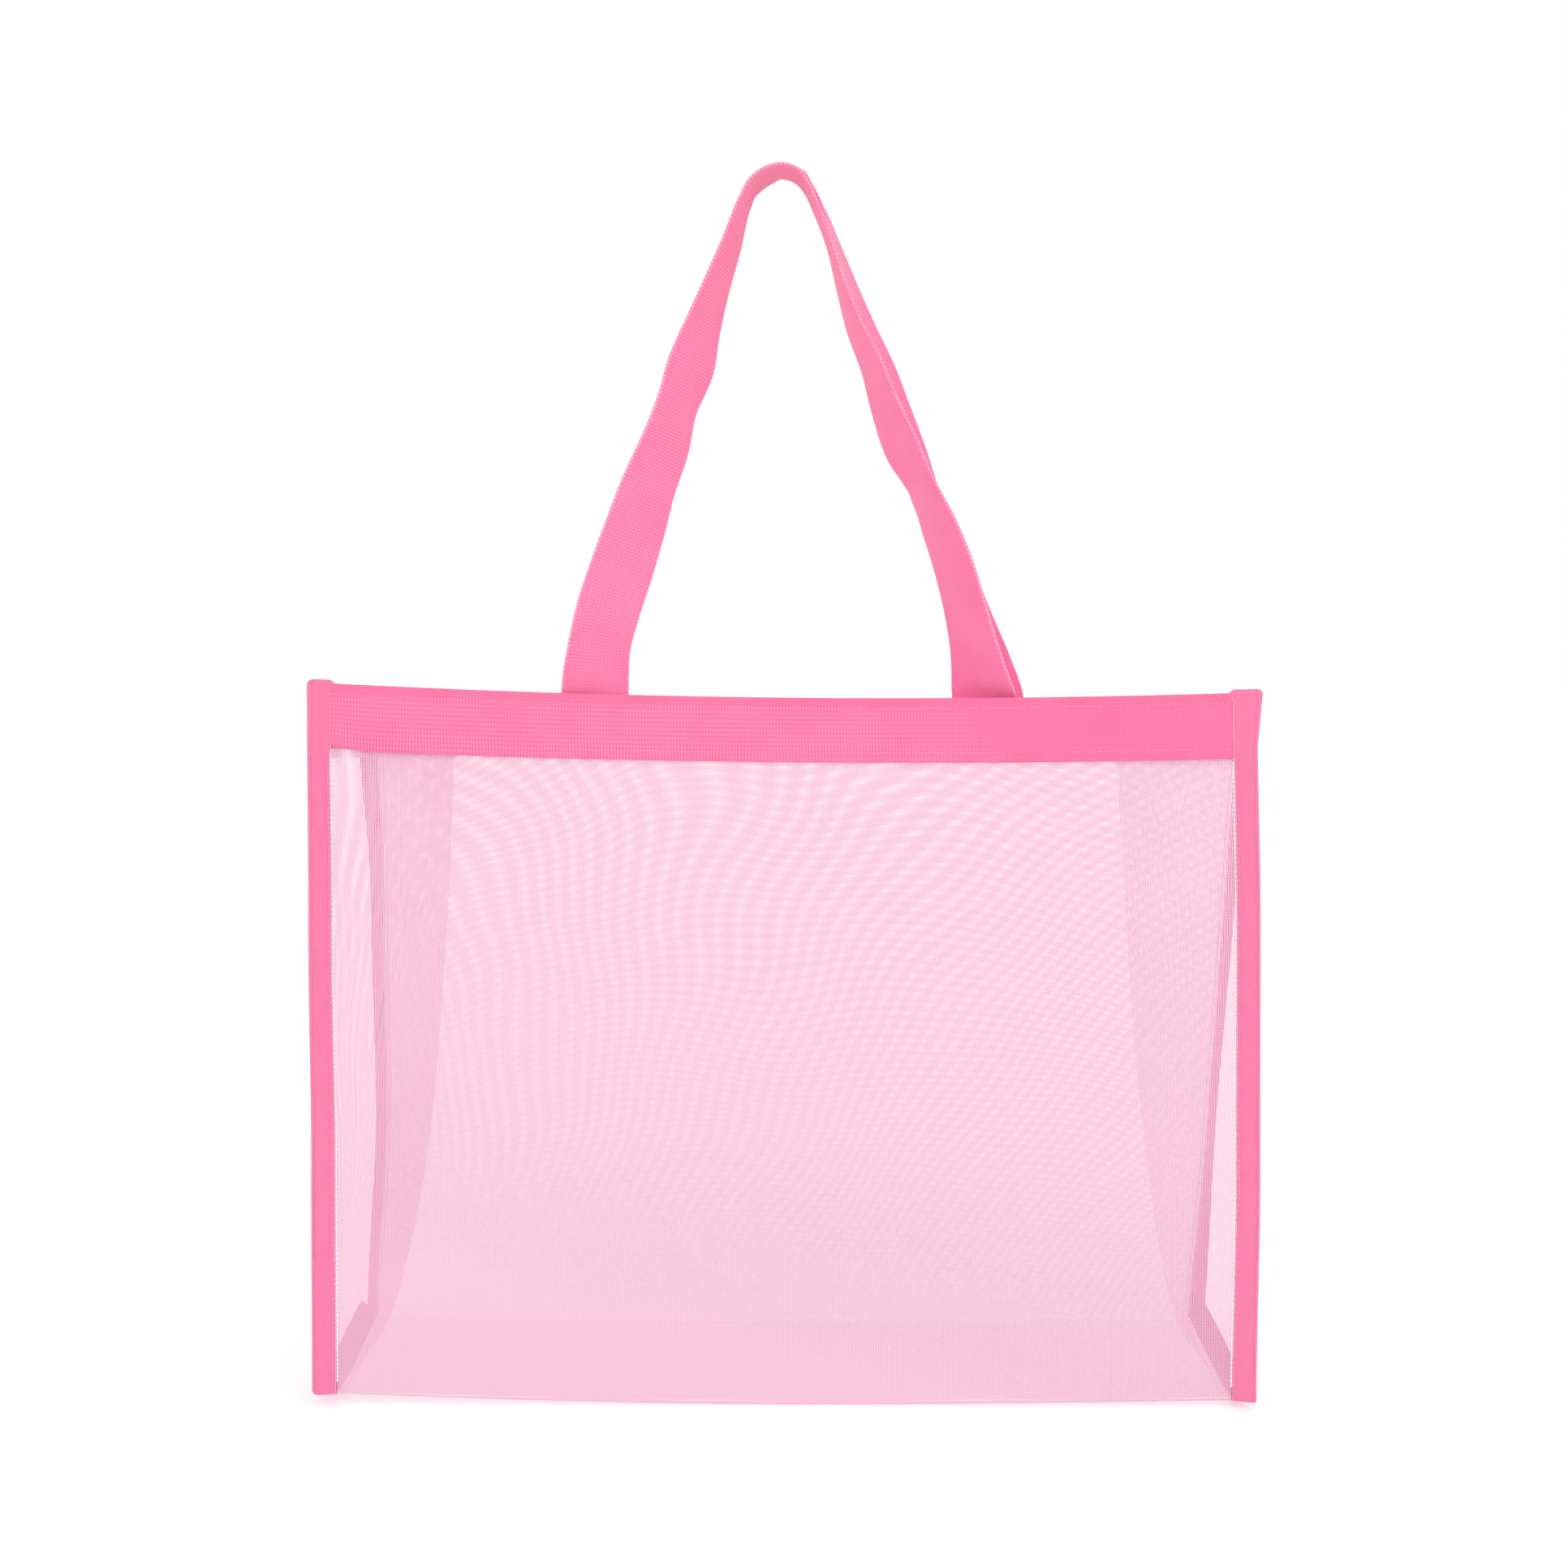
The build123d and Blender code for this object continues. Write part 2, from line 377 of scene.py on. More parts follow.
def pulled_place(fabric, sway, bow):
    """Places on a net, in millimetres, before it was pulled a little sideways and bowed."""
    loose, level = 1.6, 250
    pull = fabric.vectors("MULTIPLY", fabric.slow_noise(70.0, sway), (loose, loose, 0))
    slope = fabric.math("MULTIPLY_ADD", fabric.across, -bow, bow * level)
    slant = fabric.math("MULTIPLY", fabric.along, slope)
    arch = fabric.math("MULTIPLY", fabric.math("MULTIPLY", fabric.along, fabric.along), bow / 2)
    bowed = fabric.add("ShaderNodeCombineXYZ", slant, arch, 0.0).outputs[0]
    return fabric.vectors("ADD", fabric.vectors("ADD", fabric.place, pull), bowed)


def net_yarns(fabric, place, turn):
    """1 on a net's upright and level yarns, and 0 in the holes between them."""
    upright_pitch, level_pitch, soft = 0.76, 0.5, 0.1
    lines = []
    for pitch, share, heading in ((upright_pitch, 0.36, turn), (level_pitch, 0.31, turn + pi / 2)):
        direction = (2 * pi / pitch * cos(heading), 2 * pi / pitch * sin(heading), 0)
        phase = fabric.vectors("DOT_PRODUCT", place, direction, "Value")
        edge = cos(pi * share)
        lines.append(fabric.ramp(fabric.math("COSINE", phase), edge - soft, edge + soft))
    return fabric.math("MAXIMUM", *lines)


def net_fabric(name, turn, sway, bow, closeness=1.0, plain=(0.9, 0.0), backed_from=None):
    """Fine open net, a little pulled out of true, which shows what is behind it.

    Its yarns show less the plainer it is, given along its bottom and higher up. From the
    distance backed_from up the cloth, in millimetres, webbing lies against the net and closes it.
    """
    closed_share = 0.56
    fabric = Fabric(name, 0.8, 0.1)
    solid = net_yarns(fabric, pulled_place(fabric, sway, bow), turn)
    height = fabric.math("MULTIPLY_ADD", fabric.along, 0.25, fabric.across)
    bottom = fabric.ramp(height, 10.0, 80.0, *plain)
    above = fabric.ramp(height, 60.0, 300.0, 0.42, 0.0)
    solid = fabric.mix_values(fabric.math("MAXIMUM", bottom, above), solid, closed_share)
    solid = fabric.math("MULTIPLY", solid, closeness)
    fine = fabric.noise(0.5, 1.0)
    shade = fabric.total((fabric.noise(24.0, 1.0), 0.7), (fine, 0.3))
    colour = fabric.mix(shade, screen_colour(246, 198, 219), screen_colour(252, 209, 228))
    # Painted shade: the net darkens towards the bottom of each side and over the whole base.
    painted_bottom_shade = fabric.ramp(fabric.across, 330.0, 0.0, 0.0, 0.85)
    colour = fabric.mix(painted_bottom_shade, colour, screen_colour(236, 186, 209))
    if backed_from:
        backed = fabric.ramp(fabric.across, backed_from, backed_from + 0.5)
        colour = fabric.mix(backed, colour, screen_colour(246, 150, 190))
        solid = fabric.math("MAXIMUM", solid, backed)
    roughness = fabric.ramp(fine, 0.2, 0.8, 0.7, 0.9)
    return fabric.finish(colour, solid, 0.0001, roughness, solid)


def webbing_fabric(name, low, high):
    """Ribbed webbing: ribs across its length, fine rows along it and light loops on its edges.

    The third number of the cloth's places is the strength of the ribs.
    """
    rib_pitch, row_pitch, loop_pitch = 1.4, 1.8, 1.9
    fabric = Fabric(name, 0.75, 0.25)
    rib = fabric.wave(fabric.along, rib_pitch)
    row = fabric.wave(fabric.across, row_pitch)
    ribbed = fabric.math("MULTIPLY", rib, fabric.extra)
    stitch = fabric.math("MULTIPLY", ribbed, row)
    cloudy = fabric.noise(22.0, 2.0)
    yarn = fabric.noise(0.7, 2.0, (1, 0.35, 1))
    shade = fabric.total((stitch, 0.6), (ribbed, 0.2), (cloudy, 0.35), (yarn, 0.2))
    colour = fabric.mix(shade, screen_colour(*low), screen_colour(*high))
    loops = fabric.ramp(fabric.wave(fabric.along, loop_pitch), 0.2, 0.5, 0.15, 0.55)
    edge = fabric.ramp(fabric.math("ABSOLUTE", fabric.across), 14.1, 14.4)
    selvedge = fabric.math("MULTIPLY", edge, loops)
    colour = fabric.mix(selvedge, colour, screen_colour(250, 176, 206))
    height = fabric.total((ribbed, 0.55), (stitch, 0.3), (yarn, 0.2))
    roughness = fabric.ramp(yarn, 0.2, 0.8, 0.62, 0.85)
    return fabric.finish(colour, height, 0.00015, roughness)


def tape_fabric(name, low, high):
    """Binding tape in a close twill, with soft creases, painted shade on its inner face and a light
    selvedge.

    The third number of the cloth's places is 1 on the inner face, which takes the painted shade.
    """
    twill_pitch, rib_pitch = 0.55, 0.8
    fabric = Fabric(name, 0.8, 0.25)
    slanted = fabric.math("MULTIPLY_ADD", fabric.across, 0.8, fabric.along)
    twill = fabric.wave(slanted, twill_pitch)
    rib = fabric.wave(fabric.along, rib_pitch)
    cloudy = fabric.noise(9.0, 2.0, (1, 2, 1))
    yarn = fabric.noise(0.6, 2.0)
    shade = fabric.total((twill, 0.2), (rib, 0.15), (cloudy, 0.4), (yarn, 0.25))
    colour = fabric.mix(shade, screen_colour(*low), screen_colour(*high))
    # Painted shade on the inner face, which looks into the bag.
    colour = fabric.mix(fabric.math("MULTIPLY", fabric.extra, 0.9), colour, screen_colour(199, 63, 114))
    selvedge = fabric.ramp(fabric.across, 0.85, 0.55, 0.0, 0.8)
    colour = fabric.mix(selvedge, colour, screen_colour(252, 190, 214))
    height = fabric.total((twill, 0.4), (cloudy, 0.8), (yarn, 0.4))
    roughness = fabric.ramp(yarn, 0.2, 0.8, 0.65, 0.88)
    return fabric.finish(colour, height, 0.0002, roughness)


def thread_fabric(name):
    """Twisted sewing thread: pink in plain stitches, and pale in overlock, where the third number is 1."""
    fabric = Fabric(name, 0.55, 0.15)
    ply_pitch = 0.42
    ply = fabric.wave(fabric.math("MULTIPLY_ADD", fabric.across, 1.6, fabric.along), ply_pitch)
    tint = fabric.noise(6.0, 1.0)
    shade = fabric.total((ply, 0.5), (tint, 0.5))
    # The pink thread is lighter than the webbing: partly its own colour, partly painted light that offsets
    # the shade around the beads.
    colour = fabric.mix(shade, screen_colour(247, 139, 181), screen_colour(251, 160, 197))
    colour = fabric.mix(fabric.extra, colour, screen_colour(255, 240, 247))
    roughness = fabric.ramp(tint, 0.2, 0.8, 0.45, 0.65)
    return fabric.finish(colour, ply, 0.00003, roughness)


net = {
    "front": net_fabric("front_net", 0.0, 0.0, -0.00011, backed_from=BAND_BOTTOM / MM + 1.6),
    "back": net_fabric("back_net", 0.0, 310.0, 0.00011, backed_from=BAND_BOTTOM / MM + 1.6),
    "base": net_fabric("base_net", radians(2.0), 620.0, 0.0, plain=(0.95, 0.9)),
    "left": net_fabric("left_gusset_net", radians(1.0), 930.0, 0.0, 0.91),
    "right": net_fabric("right_gusset_net", radians(-2.0), 1240.0, 0.0, 0.5),
}
band_webbing = webbing_fabric("band_webbing", (230, 91, 141), (245, 140, 179))
# Painted light and shade: the front strap's colours are lighter than the band's, as painted light on the
# edge-on straps, and the back strap's are darker, as painted shade.
strap_webbing = {
    "front": webbing_fabric("front_strap_webbing_painted_light", (234, 96, 146), (249, 150, 187)),
    "back": webbing_fabric("back_strap_webbing_painted_shade", (228, 88, 139), (243, 134, 174)),
}
# Painted shade: the back tapes are darker copies of the front tape's colours, and the base tapes darker
# again.
tape = {
    "front": tape_fabric("front_twill", (237, 107, 154), (245, 137, 177)),
    "back": tape_fabric("back_twill_painted_shade", (234, 102, 150), (242, 132, 173)),
    "base": tape_fabric("base_twill_painted_shade", (232, 100, 148), (240, 130, 171)),
}
thread = thread_fabric("sewing_thread")


# ---- Body cloth

def even(start, end, step):
    """Even steps from start to end, each about that long."""
    return np.linspace(start, end, max(2, int(round(abs(end - start) / step)) + 1))


def make_panel_cloth(side):
    """The cloth of one tall side, with the start of its fold under the bag."""
    x = even(-SEAM, SEAM, 6 * MM)
    fold = even(FOLD_TANGENT - FOLD_LENGTH - UNDERLAP, FOLD_TANGENT, 0.6 * MM)
    up = np.concatenate([fold, even(FOLD_TANGENT, CLOTH_LENGTH, 6 * MM)[1:]])
    x, up = np.meshgrid(x, up)
    piece = sheet_piece(f"{side}_net", panel(side, x, up, CLOTH_DEPTH), cloth_places(x, up), net[side])
    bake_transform(piece)
    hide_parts(f"{side}_panel")


def make_base_cloth():
    """The cloth of the base, a little rumpled, between the folds of the two tall sides."""
    reach = BASE_DEPTH - FOLD_TANGENT - UNDERLAP
    x, y = np.meshgrid(even(-SEAM, SEAM, 6 * MM), even(-reach, reach, 6 * MM))
    rumple = 0.35 * MM * (1 + np.sin(x * 55) * np.sin(y * 40 + 1))
    piece = sheet_piece("base_net", base(x, y, -CLOTH_DEPTH + rumple), cloth_places(x, y), net["base"])
    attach(piece, "base")
    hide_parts("base_panel")


def gusset_fold(hand, up):
    """Points of the inward fold of a side gusset, level with a distance up the panels."""
    share = np.clip(up / CLOTH_LENGTH, 0, 1)
    half = BASE_DEPTH + (MOUTH_DEPTH - BASE_DEPTH) * share
    reach = np.sqrt(np.maximum(BASE_DEPTH**2 - half**2, 0))
    edges = [panel(side, HANDS[hand] * SEAM, up, CLOTH_DEPTH) for side in OUTWARD]
    middle = (edges[0] + edges[1]) / 2
    middle[..., 0] += -HANDS[hand] * reach + GUSSET_FOLD_SHIFT[hand] * share**0.7
    middle[..., 1] *= 0
    return middle


def gusset_half(side, hand, across, up):
    """Points of half a gusset: across runs from 0 at the panel's seam to 1 at the inward fold."""
    seam = panel(side, HANDS[hand] * (SEAM - 0.5 * MM), up, CLOTH_DEPTH)
    fold = gusset_fold(hand, up)
    across = np.asarray(across)[..., None]
    points = seam + (fold - seam) * across
    share = np.clip(up / CLOTH_LENGTH, 0, 1)[..., None]
    inward = np.array([-HANDS[hand], 0, 0])
    away = np.array([0, OUTWARD[side], 0])
    bow = np.sin(pi * across) * share * 2.2 * MM
    wave = np.sin(pi * across) * np.sin(share * 9 + across * 3) * 0.5 * MM
    return points + away * bow + inward * wave


def gusset_blend_ends(side):
    """Where a gusset half starts to follow its panel, at the top of its fold, and where it wholly does."""
    seam_y = OUTWARD[side] * MOUTH_DEPTH
    slope = np.array([0, 1 / seam_y, BASE_DEPTH / MOUTH_DEPTH / CLOTH_TOP])
    step = slope / (slope @ slope)
    return (0, 0, CLOTH_TOP), (0, step[1], CLOTH_TOP + step[2])


def make_gusset_half(side, hand):
    """Half a side wall, from the seam to the inward fold, with a deep hem along its top."""
    start = FOLD_TANGENT - FOLD_LENGTH / 2
    outer = even(start, CLOTH_LENGTH, 6 * MM)
    inner = even(CLOTH_LENGTH, CLOTH_LENGTH - HEM_DEPTH, 6 * MM)
    across, up = np.meshgrid(np.linspace(0, 1, 13), np.concatenate([outer, inner]))
    points = gusset_half(side, hand, across, up)
    toward_mouth = np.array([-HANDS[hand] * 0.6 * MM, -OUTWARD[side] * 0.3 * MM, 0])
    points[len(outer):] += toward_mouth * np.minimum(1, 0.2 + 4 * across[len(outer):, :, None])
    on_cloth = np.concatenate([outer, 2 * CLOTH_LENGTH - inner])
    places = cloth_places(across * BASE_DEPTH * OUTWARD[side], on_cloth[:, None])
    piece = sheet_piece(f"{hand}_gusset_{side}", points, places, net[hand])
    start, end = gusset_blend_ends(side)
    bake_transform(piece)
    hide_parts(f"{hand}_gusset")


# ---- Webbing bands

def strip_section(width, thickness, columns):
    """Places around a flat strip's section: across and depth, with rounded edges."""
    flat = np.linspace(-width / 2 + thickness / 2, width / 2 - thickness / 2, columns)
    turn = np.linspace(pi / 2, -pi / 2, 5)[1:-1]
    top = np.stack([flat, 0 * flat + thickness / 2], -1)
    right = np.stack([flat[-1] + np.cos(turn) * thickness / 2, np.sin(turn) * thickness / 2], -1)
    return np.concatenate([top, right, top[::-1] * (1, -1), right[::-1] * (-1, 1)])


def make_band(side):
    """Webbing along the outside of a panel's top edge, with real ribs."""
    rib_pitch, rib_height, smooth_zone = 1.4 * MM, 0.14 * MM, 4 * MM
    x = even(-SEAM - 0.4 * MM, SEAM + 0.4 * MM, rib_pitch / 4)
    section = strip_section(BAND_WIDTH - BAND_TAKE_UP, STRAP_THICKNESS, 16)
    x, across = np.meshgrid(x, section[:, 0], indexing="ij")
    depth = np.broadcast_to(section[:, 1], x.shape)
    outside = np.clip(depth / (STRAP_THICKNESS / 2), 0, 1)
    across = across + BAND_TAKE_UP / 2
    below_edge = BAND_WIDTH / 2 - across
    ribbed = np.clip((below_edge - smooth_zone) / (3 * MM) + 0.5, 0.15, 1)
    ribbed = ribbed * np.clip(1 - np.maximum(x / SEAM - 0.1, 0) * 1.6, 0.25, 1)
    depth = depth + np.cos(2 * pi * x / rib_pitch) * rib_height * outside * ribbed
    up = BAND_BOTTOM + BAND_WIDTH / 2 + across
    corner = np.clip(-x / SEAM - 0.86, 0, 1) / 0.14
    up = up + corner**2 * 2.2 * MM * np.clip(0.5 - across / BAND_WIDTH, 0, 1)
    points = panel(side, x, up, depth + STRAP_THICKNESS / 2)
    piece = tube_piece(f"{side}_band", points, cloth_places(x, across * 0.9, ribbed), band_webbing)
    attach(piece, f"{side}_panel")
    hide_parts(f"{side}_top_band")


# ---- Binding tape

def fin_frame(side, hand, up):
    """Foot of a corner tape at its seam, with the direction in which it stands out and its face's."""
    foot = panel(side, HANDS[hand] * SEAM, up, CLOTH_DEPTH)
    turn = np.radians(key_values(FIN_TURN[side, hand], up / CLOTH_LENGTH))[..., None]
    sideways = np.array([HANDS[hand], 0, 0])
    outward = panel_outward(side)
    across = sideways * np.cos(turn) + outward * np.sin(turn)
    face = outward * np.cos(turn) - sideways * np.sin(turn)
    return foot, across, face


def tape_section(width):
    """Places around a folded tape: across from the seam, and depth from its middle."""
    lip, thick = 0.75 * MM, 1.05 * MM
    across = TAPE_FOOT + np.array([0, 0.03, 0.09, 0.2, 0.38, 0.56, 0.74, 0.88]) * (width - TAPE_FOOT)
    depth = np.array([lip * 0.8, lip, 0.95 * MM, 0.8 * MM, thick, 1.12 * MM, thick, 0.85 * MM])
    turn = np.linspace(pi / 2, -pi / 2, 7)
    nose = np.stack([width - 1.1 * MM + np.cos(turn) * 1.1 * MM, np.sin(turn) * 1.0 * MM], -1)
    face = np.stack([across, depth], -1)
    return np.concatenate([face, nose, face[::-1] * (1, -1)])


def round_ends(section, up, low, high, radius):
    """Draw a tape's section in near its ends, so that its corners are round."""
    near = np.minimum(up - low, high - up)
    short = np.clip(1 - near / radius, 0, 1)[..., None]
    inset = radius * (1 - np.sqrt(1 - short**2))
    middle = (section[:, 0].min() + section[:, 0].max()) / 2
    half = (section[:, 0].max() - section[:, 0].min()) / 2
    across = middle + (section[:, 0] - middle) * (half - inset) / half
    thickness = section[:, 1] * np.sqrt(np.maximum(1 - short**4, 0.15))
    return across, thickness


def corner_tape_steps(low, high):
    """Steps up a corner tape, close together at its fold and at its top, where it bends most."""
    fold_end, top_start = low + 14 * MM, high - 6 * MM
    fold, top = even(low, fold_end, 0.5 * MM), even(top_start, high, 0.4 * MM)
    return np.concatenate([fold, even(fold_end, top_start, 1.4 * MM)[1:], top[1:]])


def corner_tape_shape(side, hand, section, up, low, high, foot):
    """A corner tape's section at every step up it: round at its corners, scalloped and puckered."""
    across, depth = round_ends(section, up, low, high, 2.6 * MM)
    out = np.clip(section[:, 0] / TAPE_NOSE, 0, 1)
    below_top = (high - up)[:, None]
    lip = section[:, 0] < TAPE_FOOT + 0.5 * MM
    scallop = 0.22 * MM * np.abs(np.sin(pi * up / (2.8 * MM)))[:, None]
    cap = 2.6 * MM * np.clip(1 - below_top / (5 * MM), 0, 1) ** 0.5
    across = across + scallop * lip - cap * np.clip(1 - section[:, 0] / (3 * MM), 0, 1)
    across = across + FIN_FLARE[side, hand] * np.clip(1 - below_top / (26 * MM), 0, 1) * out
    radius = TAPE_CORNER[side, hand]
    short = np.clip(1 - (foot[:, 2:] - foot[:, 2].min()) / radius, 0, 1)
    across = across - radius * (1 - np.sqrt(1 - short**2)) * out
    over_band = np.clip((up - BAND_BOTTOM) / (2 * MM) + 0.5, 0, 1)[:, None]
    band_lift = np.interp(section[:, 0], [0, TAPE_NOSE], [1.7 * MM, 0.3 * MM])
    pucker = 1 + 0.07 * np.sin(up / (2.3 * MM))[:, None] * np.sin(up / (9 * MM))[:, None]
    return across, (depth + over_band * (section[:, 1] > 0) * band_lift) * pucker


def make_corner_tape(side, hand):
    """Tape folded over the upright seam, from under the bag to above the band."""
    low = FOLD_TANGENT - FOLD_LENGTH - UNDERLAP
    high = CLOTH_LENGTH + FIN_RISE[side]
    up = corner_tape_steps(low, high)
    section = tape_section(TAPE_NOSE)
    foot, sideways, face = fin_frame(side, hand, up)
    across, depth = corner_tape_shape(side, hand, section, up, low, high, foot)
    points = foot[:, None] + sideways[:, None] * across[..., None] + face[:, None] * depth[..., None]
    points[..., 2] = np.maximum(points[..., 2], FLOOR_GAP)
    # The third number is 1 on the tape's inner face, for its painted shade.
    places = cloth_places(up[:, None], section[:, 0], section[:, 1] < 0)
    piece = tube_piece(f"{side}_{hand}_tape", points, places, tape[side])
    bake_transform(piece)
    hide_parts(f"{side}_{hand}_binding")


def base_fin_frame(hand, y):
    """Foot of the base tape at its seam, with the direction in which it stands out and its face's."""
    foot = base(HANDS[hand] * SEAM, y, 1.3 * MM)
    toward_back = y / BASE_DEPTH * 0.5 + 0.5
    turn = np.radians(8 + 42 * toward_back**2)[..., None]
    sideways = np.array([HANDS[hand], 0, 0])
    upward = np.array([0, 0, 1])
    across = sideways * np.cos(turn) + upward * np.sin(turn)
    face = upward * np.cos(turn) - sideways * np.sin(turn)
    return foot, across, face


def make_base_tape(hand):
    """Tape folded over the seam along a short side of the base."""
    reach = BASE_DEPTH - 4 * MM
    y = even(-reach, reach, 1.0 * MM)
    section = tape_section(TAPE_NOSE)
    across, depth = round_ends(section, y, -reach, reach, 1.5 * MM)
    foot, sideways, face = base_fin_frame(hand, y)
    points = foot[:, None] + sideways[:, None] * across[..., None] + face[:, None] * depth[..., None]
    points[..., 2] = np.maximum(points[..., 2], FLOOR_GAP)
    # The third number is 1 on the face toward the inside of the bag, for its painted shade.
    places = cloth_places(y[:, None], section[:, 0], section[:, 1] > 0)
    piece = tube_piece(f"base_{hand}_tape", points, places, tape["base"])
    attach(piece, "base")
    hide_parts(f"base_{hand}_binding")


# ---- Handles

# Each leg from the band to the apex: sideways from the leg spacing's middle, height above the band,
# and how far the strap has turned edge-on, in millimetres and degrees. Most of these points were
# not chosen by hand: scratch programs worked them out from edge positions read off the photo.
HANDLE_LEGS = {
    ("front", "left"): [
        (-83.7, 0, 6), (-84, 20, 26), (-79.5, 38, 23), (-73.5, 56, 24), (-67.4, 74, 31),
        (-61.5, 92, 40), (-54.2, 110, 47), (-48.6, 128, 56), (-42.5, 145, 50),
        (-36.8, 163, 62), (-30.6, 181, 71), (-24.1, 199, 77), (-18.6, 216, 83),
        (-14.5, 224, 85), (-9, 228.4, 87),
    ],
    ("front", "right"): [
        (87.4, 0, 20), (86, 8, 34), (83.3, 20, 47), (78.4, 39, 55), (73.3, 57, 58),
        (66.7, 75, 62), (59.8, 91, 69), (49.8, 110, 62), (42.4, 128, 68), (36.6, 145, 74),
        (28.7, 163, 79), (22.7, 181, 85), (17.6, 199, 88), (11, 216, 88), (7.6, 223, 88),
        (4, 227.5, 87),
    ],
    ("back", "left"): [
        (-92, 0, 8), (-91.5, 20, 27), (-87, 39, 27), (-81.5, 57, 27), (-75, 75, 33),
        (-69, 93, 41), (-62, 111, 47), (-55.5, 129, 54), (-50, 147, 53), (-44.5, 165, 61),
        (-38, 183, 69), (-31, 201, 74), (-24.5, 217, 80), (-17, 227, 85), (-10, 232.5, 88),
    ],
    ("back", "right"): [
        (90.2, 0, 14), (89.2, 18, 41), (82.5, 37, 52), (75.3, 56, 56), (67.5, 75, 58),
        (59, 94, 60), (53.2, 112, 62), (46.5, 131, 65), (40, 149, 68), (32, 167, 72),
        (24.4, 186, 77), (17.5, 204, 81), (10.4, 222, 86), (6.5, 228, 88), (3, 232.8, 89),
    ],
}
# The top of each strap, as sideways and height in the same measures
HANDLE_APEX = {"front": (-2.5, 229.8), "back": (-3, 235)}


def strap_keys(side):
    """Points of a strap's centre line, with its turn: one sewn end, the loop, the other end."""
    ends_low, ends_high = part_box(f"{side}_handle_ends")
    middle = (ends_low.x + ends_high.x) / 2
    apex_x, apex_height = HANDLE_APEX[side]
    legs = {}
    for hand in HANDS:
        keys = [(x * MM + middle, height * MM, turn) for x, height, turn in HANDLE_LEGS[side, hand]]
        foot_x, _, foot_turn = keys[0]
        sewn = [(foot_x, -share * (BAND_WIDTH - 4 * MM), 0) for share in (1.0, 0.66, 0.33)]
        legs[hand] = sewn + [(foot_x, 0, foot_turn)] + keys[1:]
    return legs["left"] + [(middle + apex_x * MM, apex_height * MM, 87)] + legs["right"][::-1]


def through(keys, steps):
    """Smooth curve through rows of numbers, at even steps of the distance along the first three."""
    keys = np.asarray(keys, float)
    lengths = np.linalg.norm(np.diff(keys[:, :3], axis=0), axis=1)
    knots = np.concatenate([[0], np.cumsum(lengths)])
    slopes = np.gradient(keys, knots, axis=0)
    at = np.linspace(0, knots[-1], steps)
    index = np.clip(np.searchsorted(knots, at, side="right") - 1, 0, len(knots) - 2)
    span = (knots[index + 1] - knots[index])[:, None]
    t = ((at - knots[index]) / span[:, 0])[:, None]
    first, second = keys[index], keys[index + 1]
    return (
        (2 * t**3 - 3 * t**2 + 1) * first
        + (t**3 - 2 * t**2 + t) * span * slopes[index]
        + (3 * t**2 - 2 * t**3) * second
        + (t**3 - t**2) * span * slopes[index + 1]
    )


def strap_rows(side):
    """Points of a strap's centre line in space, with its turn, leaning from its panel to the middle."""
    apex_offset, foot_lean_height = 16 * MM, 50 * MM
    keys = strap_keys(side)
    apex_height = max(height for _, height, _ in keys)
    rows = []
    for x, height, turn in keys:
        foot_turn = HANDLE_LEGS[side, "left" if x < keys[len(keys) // 2][0] else "right"][0][2]
        lean_in = STRAP_WIDTH / 2 * sin(radians(foot_turn))
        lean_in = lean_in * np.clip(1 - abs(height) / foot_lean_height, 0, 1) ** 2
        if height < -1 * MM:
            lean_in = lean_in * np.clip(1 + height / (20 * MM), 0, 1)
        x_on_cloth = x - (BACK_SHIFT if side == "back" else 0)
        depth = CLOTH_DEPTH - STRAP_THICKNESS - lean_in
        foot = panel(side, x_on_cloth, CLOTH_LENGTH + min(height, 0), depth)
        if height <= 0:
            rows.append([*foot, turn])
        else:
            share = height / apex_height
            y = foot[1] + (OUTWARD[side] * apex_offset - foot[1]) * share
            rows.append([x, y, foot[2] * (1 - share) + CLOTH_TOP * share + height, turn])
    return rows


def strap_directions(side, centre, turn):
    """The directions of a strap's width and of its face, for its turn at every point along it."""
    along = unit(np.gradient(centre, axis=0))
    outward = np.array([0, OUTWARD[side], 0])
    outward = unit(outward - along * (along @ outward)[:, None])
    away = np.cross(outward, along) * -OUTWARD[side]
    width = away * np.cos(turn) + outward * np.sin(turn)
    return width, np.cross(width, along) * OUTWARD[side]


def make_strap(side):
    """A handle's whole strap: one sewn end, the loop and the other sewn end."""
    rib_pitch, rib_height, stations = 1.4 * MM, 0.12 * MM, 1300
    curve = through(strap_rows(side), stations)
    centre, turn = curve[:, :3], np.radians(np.clip(curve[:, 3], 0, 90))[:, None]
    width, face = strap_directions(side, centre, turn)
    section = strip_section(STRAP_WIDTH, STRAP_THICKNESS * 0.8, 14)
    steps = np.linalg.norm(np.diff(centre, axis=0), axis=1)
    travelled = np.concatenate([[0], np.cumsum(steps)])
    across = np.broadcast_to(section[:, 0], (stations, len(section)))
    depth = np.broadcast_to(section[:, 1], across.shape)
    loose = np.clip((centre[:, 2] - CLOTH_TOP) / (40 * MM), 0, 1)[:, None]
    turned_over = np.clip((centre[:, :1] + 20 * MM) / (30 * MM), 0, 0.7)
    ribbed = (0.25 + 0.75 * loose) * (1 - turned_over)
    ribs = np.cos(2 * pi * travelled / rib_pitch)[:, None] * rib_height * ribbed * np.sign(depth)
    cup = (across / (STRAP_WIDTH / 2)) ** 2 * 0.7 * MM * loose
    depth = depth + ribs * (np.abs(across) < STRAP_WIDTH / 2 - 1 * MM) - cup
    points = centre[:, None] + width[:, None] * across[..., None] + face[:, None] * depth[..., None]
    places = cloth_places(travelled[:, None], across, ribbed)
    piece = tube_piece(f"{side}_strap", points, places, strap_webbing[side])
    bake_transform(piece)
    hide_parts(f"{side}_handle", f"{side}_handle_ends")


# ---- Stitching

